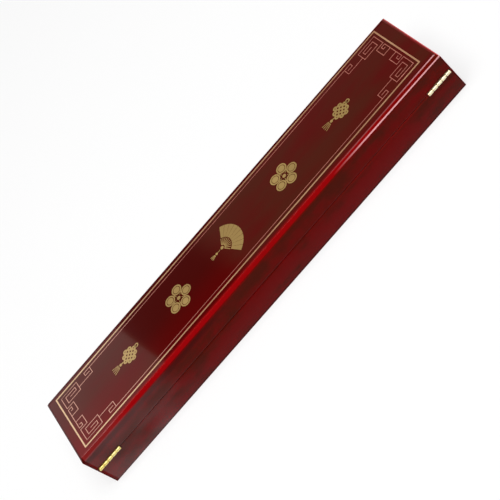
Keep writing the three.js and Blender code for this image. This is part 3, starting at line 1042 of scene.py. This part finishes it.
def satin_tone(place):
    """Fine threads both ways, over the soft unevenness of cloth drawn over foam."""
    threads = place.clouds(1900, 1, (0.25, 1, 1))
    across = place.clouds(1900, 1, (1, 0.25, 1))
    folds = place.clouds(34, 2)
    lustre = (0.5 * folds + 0.3 * threads + 0.2 * across).ramp(0.3, 0.7)
    return {
        "Base Color": lustre.colour(SATIN_SHADE, SATIN_LIGHT),
        "Roughness": 0.34 + across * 0.16,
        "Normal": (folds + 0.04 * threads + 0.04 * across).relief(0.7 * MM, 0.5),
    }


satin = finish_of(
    "yellow_satin",
    satin_tone,
    Specular_IOR_Level=0.45,
    Sheen_Weight=0.25,
    Sheen_Roughness=0.35,
    Sheen_Tint=(1, 0.88, 0.6, 1),
)


def foam_tone(place):
    # The pits of the pores are painted darker: painted shade
    pores = place.node("ShaderNodeTexVoronoi", {"Vector": place, "Scale": 1600})
    return {
        "Base Color": pores.ramp(0.1, 0.6).colour(FOAM_PORE_SHADE, FOAM_CREAM),
        "Normal": pores.relief(0.3 * MM, 0.8),
    }


def card_tone(place):
    flecks = place.clouds(900, 4, (0.4, 1, 1))
    return {
        "Base Color": flecks.ramp(0.35, 0.75).colour(CARD_PALE, CARD_DARK),
        "Normal": flecks.relief(0.05 * MM, 0.5),
    }


foam = finish_of("cream_foam", foam_tone, Roughness=0.95, Specular_IOR_Level=0.2)
card = finish_of("grey_card", card_tone, Roughness=0.9, Specular_IOR_Level=0.2)

for side in ("front", "back", "left", "right"):
    strip = block(f"lid_{side}_strip", *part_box(f"lid_{side}_lining"))
    round_over(strip, lambda middle: True, STRIP_ROUND)
    settle(strip, satin, "lid", "satin", f"lid_{side}_lining")


def soft_core(name, low, high, corner, edge):
    """A block with round corners and eased edges."""
    core = block(name, low, high)
    mean = (low[2] + high[2]) / 2
    round_over(core, lambda middle: near(middle.z, mean), corner, segments=6)
    round_over(core, lambda middle: not near(middle.z, mean), edge, segments=2)
    return core


def swollen(piece, voxel, rise, glued_at, reach):
    """Swells the cover as stuffing does, no point further than rise, with its glued side held flat.
    Then it's drawn out to its full reach along X and Y."""
    last_moment = 20
    only(piece)
    piece.data.remesh_voxel_size = voxel
    bpy.ops.object.voxel_remesh()
    soften = piece.modifiers.new("soften", "SMOOTH")
    soften.factor = 0.5
    soften.iterations = 4
    bpy.ops.object.modifier_apply(modifier="soften")
    before = [vertex.co.copy() for vertex in piece.data.vertices]
    glued = piece.vertex_groups.new(name="glued")
    glued.add([i for i, co in enumerate(before) if abs(co.z - glued_at) < voxel], 1, "REPLACE")
    cloth = piece.modifiers.new("swell", "CLOTH")
    cloth.settings.use_pressure = True
    cloth.settings.uniform_pressure_force = 4
    cloth.settings.effector_weights.gravity = 0
    cloth.settings.vertex_group_mass = "glued"
    cloth.point_cache.frame_start = 1
    cloth.point_cache.frame_end = last_moment
    for moment in range(1, last_moment + 1):
        bpy.context.scene.frame_set(moment)
    bpy.ops.object.modifier_apply(modifier="swell")
    bpy.context.scene.frame_set(1)
    for vertex, start in zip(piece.data.vertices, before):
        move = vertex.co - start
        vertex.co = start + move * rise / (rise + move.length)
    fine = piece.modifiers.new("fine", "SUBSURF")
    fine.levels = fine.render_levels = 1
    bpy.ops.object.modifier_apply(modifier="fine")
    for vertex in piece.data.vertices:
        if abs(vertex.co.z - glued_at) < 0.4 * MM:
            vertex.co.z = glued_at
    piece.scale.x = 2 * reach.x / piece.dimensions.x
    piece.scale.y = 2 * reach.y / piece.dimensions.y
    bpy.ops.object.transform_apply(scale=True)


def sideways(size):
    return Vector((size, size, 0))


def upwards(size):
    return Vector((0, 0, size))


PAD_RISE = 0.55 * MM
CARD_INSET = sideways(0.8 * MM)
FOAM_INSET = sideways(1.2 * MM)
board_low, board_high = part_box("lid_pad_board")
board_low, board_high = board_low + CARD_INSET, board_high - CARD_INSET
lid_card = soft_core("lid_pad_card", board_low, board_high, corner=2 * MM, edge=0.2 * MM)
settle(lid_card, card, "lid", "card", "lid_pad_board")
foam_low, foam_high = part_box("lid_pad_foam")
foam_low, foam_high = foam_low + FOAM_INSET, foam_high - FOAM_INSET
lid_foam = soft_core("lid_pad_core", foam_low, foam_high, corner=2 * MM, edge=0.4 * MM)
settle(lid_foam, foam, "lid", "foam", "lid_pad_foam")
cover_low, cover_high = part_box("lid_pad_satin")
slack = sideways(PAD_RISE)
pad_low = cover_low + slack + upwards(0.35 * MM)
lid_pad = soft_core("lid_satin_pad", pad_low, cover_high - slack, corner=2.5 * MM, edge=0.7 * MM)
swollen(lid_pad, voxel=1.5 * MM, rise=PAD_RISE, glued_at=cover_high.z, reach=cover_high)
settle(lid_pad, satin, "lid", "satin", "lid_pad_satin", smooth=80)


# The bed is a foam block under satin. A long trough in it holds the folded fan, wide for the leaf at the
# left and narrow for the pivot at the right, with a round notch on each side for the fingers.
BED_RISE = 0.9 * MM
bed_low, bed_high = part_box("bed_satin")
TROUGH_HALF_LENGTH = 167.2 * MM
TROUGH_LEAF_HALF = 19 * MM
TROUGH_PIVOT_HALF = 15 * MM
TROUGH_LEAF_CORNER = 6 * MM
TROUGH_PIVOT_CORNER = 13 * MM
TROUGH_FLOOR = 8.4 * MM
NOTCH_RADIUS = 7 * MM
NOTCH_MIDDLE = 17.5 * MM


def trough_cutters(grow, deep):
    """The trough's space, wider by grow all round and deeper by deep."""
    floor_height = TROUGH_FLOOR - deep
    above = bed_high.z + 5 * MM
    reach = TROUGH_HALF_LENGTH + grow
    leaf_half = TROUGH_LEAF_HALF + grow
    trough = block("trough", (-reach, -leaf_half, floor_height), (reach, leaf_half, above))
    edit(trough, "FACE")
    choose(trough, "FACE", lambda middle: near(middle.x, reach))
    narrowing = (TROUGH_PIVOT_HALF + grow) / leaf_half
    bpy.ops.transform.resize(value=(1, narrowing, 1), center_override=(reach, 0, 0))
    bpy.ops.object.mode_set(mode="OBJECT")
    mean = (floor_height + above) / 2
    for end, corner, segments in ((-reach, TROUGH_LEAF_CORNER, 8), (reach, TROUGH_PIVOT_CORNER, 12)):
        round_over(trough, lambda middle: near(middle.z, mean) and near(middle.x, end), corner, segments)
    notch = NOTCH_RADIUS + grow
    across = block("across", (-notch, -NOTCH_MIDDLE, floor_height), (notch, NOTCH_MIDDLE, above))
    height = above - floor_height
    ends = [rod("notch", "Z", (0, side * NOTCH_MIDDLE, mean), notch, height) for side in (-1, 1)]
    return [trough, across, *ends]


bed_card = soft_core("bed_card", *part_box("bed_board"), corner=1 * MM, edge=0.2 * MM)
settle(bed_card, card, "base", "card", "bed_board")
core_low, core_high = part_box("bed_foam")
core_low, core_high = core_low + FOAM_INSET, core_high - FOAM_INSET - upwards(1.2 * MM)
bed_core = soft_core("bed_core", core_low, core_high, corner=1 * MM, edge=0.8 * MM)
cut_out(bed_core, *trough_cutters(grow=1.8 * MM, deep=1.2 * MM))
settle(bed_core, foam, "base", "foam", "bed_foam")

slack = sideways(BED_RISE * 0.6)
pad_high = bed_high - slack - upwards(0.7 * MM)
bed_pad = soft_core("bed_satin_pad", bed_low + slack, pad_high, corner=1.5 * MM, edge=1.2 * MM)
cut_out(bed_pad, *trough_cutters(grow=0.7 * MM, deep=-0.6 * MM))
swollen(bed_pad, voxel=2 * MM, rise=BED_RISE, glued_at=bed_low.z, reach=bed_high)
settle(bed_pad, satin, "base", "satin", "bed_satin", smooth=80)


# A sheet of dark red felt is glued under the floor, and the box stands on it. It is cut a little smaller
# than the recess inside the walls' feet, and its edges are worn round.
DARK_FELT = (0.012, 0.004, 0.004, 1)
RED_FELT = (0.05, 0.014, 0.015, 1)


def felt_tone(place):
    fibres = place.clouds(1100, 5)
    lint = place.clouds(240, 3)
    pile = (0.6 * fibres + 0.4 * lint).ramp(0.3, 0.7)
    return {
        "Base Color": pile.colour(DARK_FELT, RED_FELT),
        "Normal": fibres.relief(0.35 * MM, 0.9),
    }


felt = finish_of("dark_felt", felt_tone, Roughness=1.0, Sheen_Weight=0.4, Sheen_Roughness=0.6)
low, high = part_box("base_felt")
deselect()
bpy.ops.mesh.primitive_grid_add(x_subdivisions=60, y_subdivisions=9, size=1, location=(low + high) / 2)
felt_sheet = bpy.context.object
felt_sheet.name = "felt_sheet"
felt_sheet.scale = (high.x - low.x, high.y - low.y, 1)
bpy.ops.object.transform_apply(location=True, scale=True)
body = felt_sheet.modifiers.new("body", "SOLIDIFY")
body.thickness = high.z - low.z
body.offset = 0
bpy.ops.object.modifier_apply(modifier="body")


def is_felt_edge(middle):
    on_a_face = near(middle.z, low.z) or near(middle.z, high.z)
    return on_a_face and (near(abs(middle.x), high.x) or near(abs(middle.y), high.y))


round_over(felt_sheet, is_felt_edge, 0.25 * MM, segments=2)
settle(felt_sheet, felt, "base", "felt", "base_felt")


# The floor is white paper, wide enough to fill every view. A large soft lamp hangs over it, and two
# softboxes beside the box show only as reflections in the lacquer.
def paper_tone(place):
    return {"Base Color": place.clouds(3, 2).colour((0.93, 0.93, 0.93, 1), (0.95, 0.95, 0.95, 1))}


deselect()
bpy.ops.mesh.primitive_plane_add(size=12)
floor = bpy.context.object
floor.name = "paper_floor"
paper = finish_of("white_paper", paper_tone, Roughness=0.9, Specular_IOR_Level=0.1)
floor.data.materials.append(paper)
floor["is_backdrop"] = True

# Seen by the camera or in a gloss, the paper is mostly plain white, and keeps a lighter shadow
surface = paper.node_tree.nodes["Principled BSDF"]
page = Shade(paper.node_tree, surface.outputs[0])
kinds = ("Camera", "Glossy", "Transmission")
rays = [page.node("ShaderNodeLightPath", {}, out=f"Is {kind} Ray") for kind in kinds]
seen = page.math("MINIMUM", rays[0] + rays[1] + rays[2], 1)
white = page.node("ShaderNodeEmission", {"Color": (1, 1, 1, 1), "Strength": 1.0})
mixed = page.node("ShaderNodeMixShader", {0: seen * 0.7, 1: page, 2: white})
paper.node_tree.links.new(mixed.socket, paper.node_tree.nodes["Material Output"].inputs["Surface"])

world = bpy.data.worlds.new("studio")
bpy.context.scene.world = world
world.use_nodes = True
sky = world.node_tree.nodes["Background"].inputs
sky["Color"].default_value = (1, 1, 1, 1)
sky["Strength"].default_value = 0.22


def lamp(name, place, target, size, watts, diffuse=True):
    toward = Vector(target) - Vector(place)
    deselect()
    bpy.ops.object.light_add(type="AREA", location=place)
    light = bpy.context.object
    light.name = name
    light.rotation_euler = toward.to_track_quat("-Z", "Y").to_euler()
    light.data.shape = "RECTANGLE"
    light.data.size, light.data.size_y = size
    light.data.energy = watts
    light.visible_diffuse = diffuse


lamp("overhead_lamp", (0, 0.25, 1.5), target=(0, 0, 0), size=(1.6, 1.1), watts=26)
lamp("right_softbox", (1.0, -1.2, 1.1), target=(1.0, 0, 0), size=(1.0, 1.2), watts=3, diffuse=False)
lamp("left_softbox", (-0.5, 1.25, 0.55), target=(-0.1, 0, 0.03), size=(0.8, 0.5), watts=3, diffuse=False)

boxes = {"cad": [list(corner) for corner in cad_box], "visual": [list(corner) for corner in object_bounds()]}
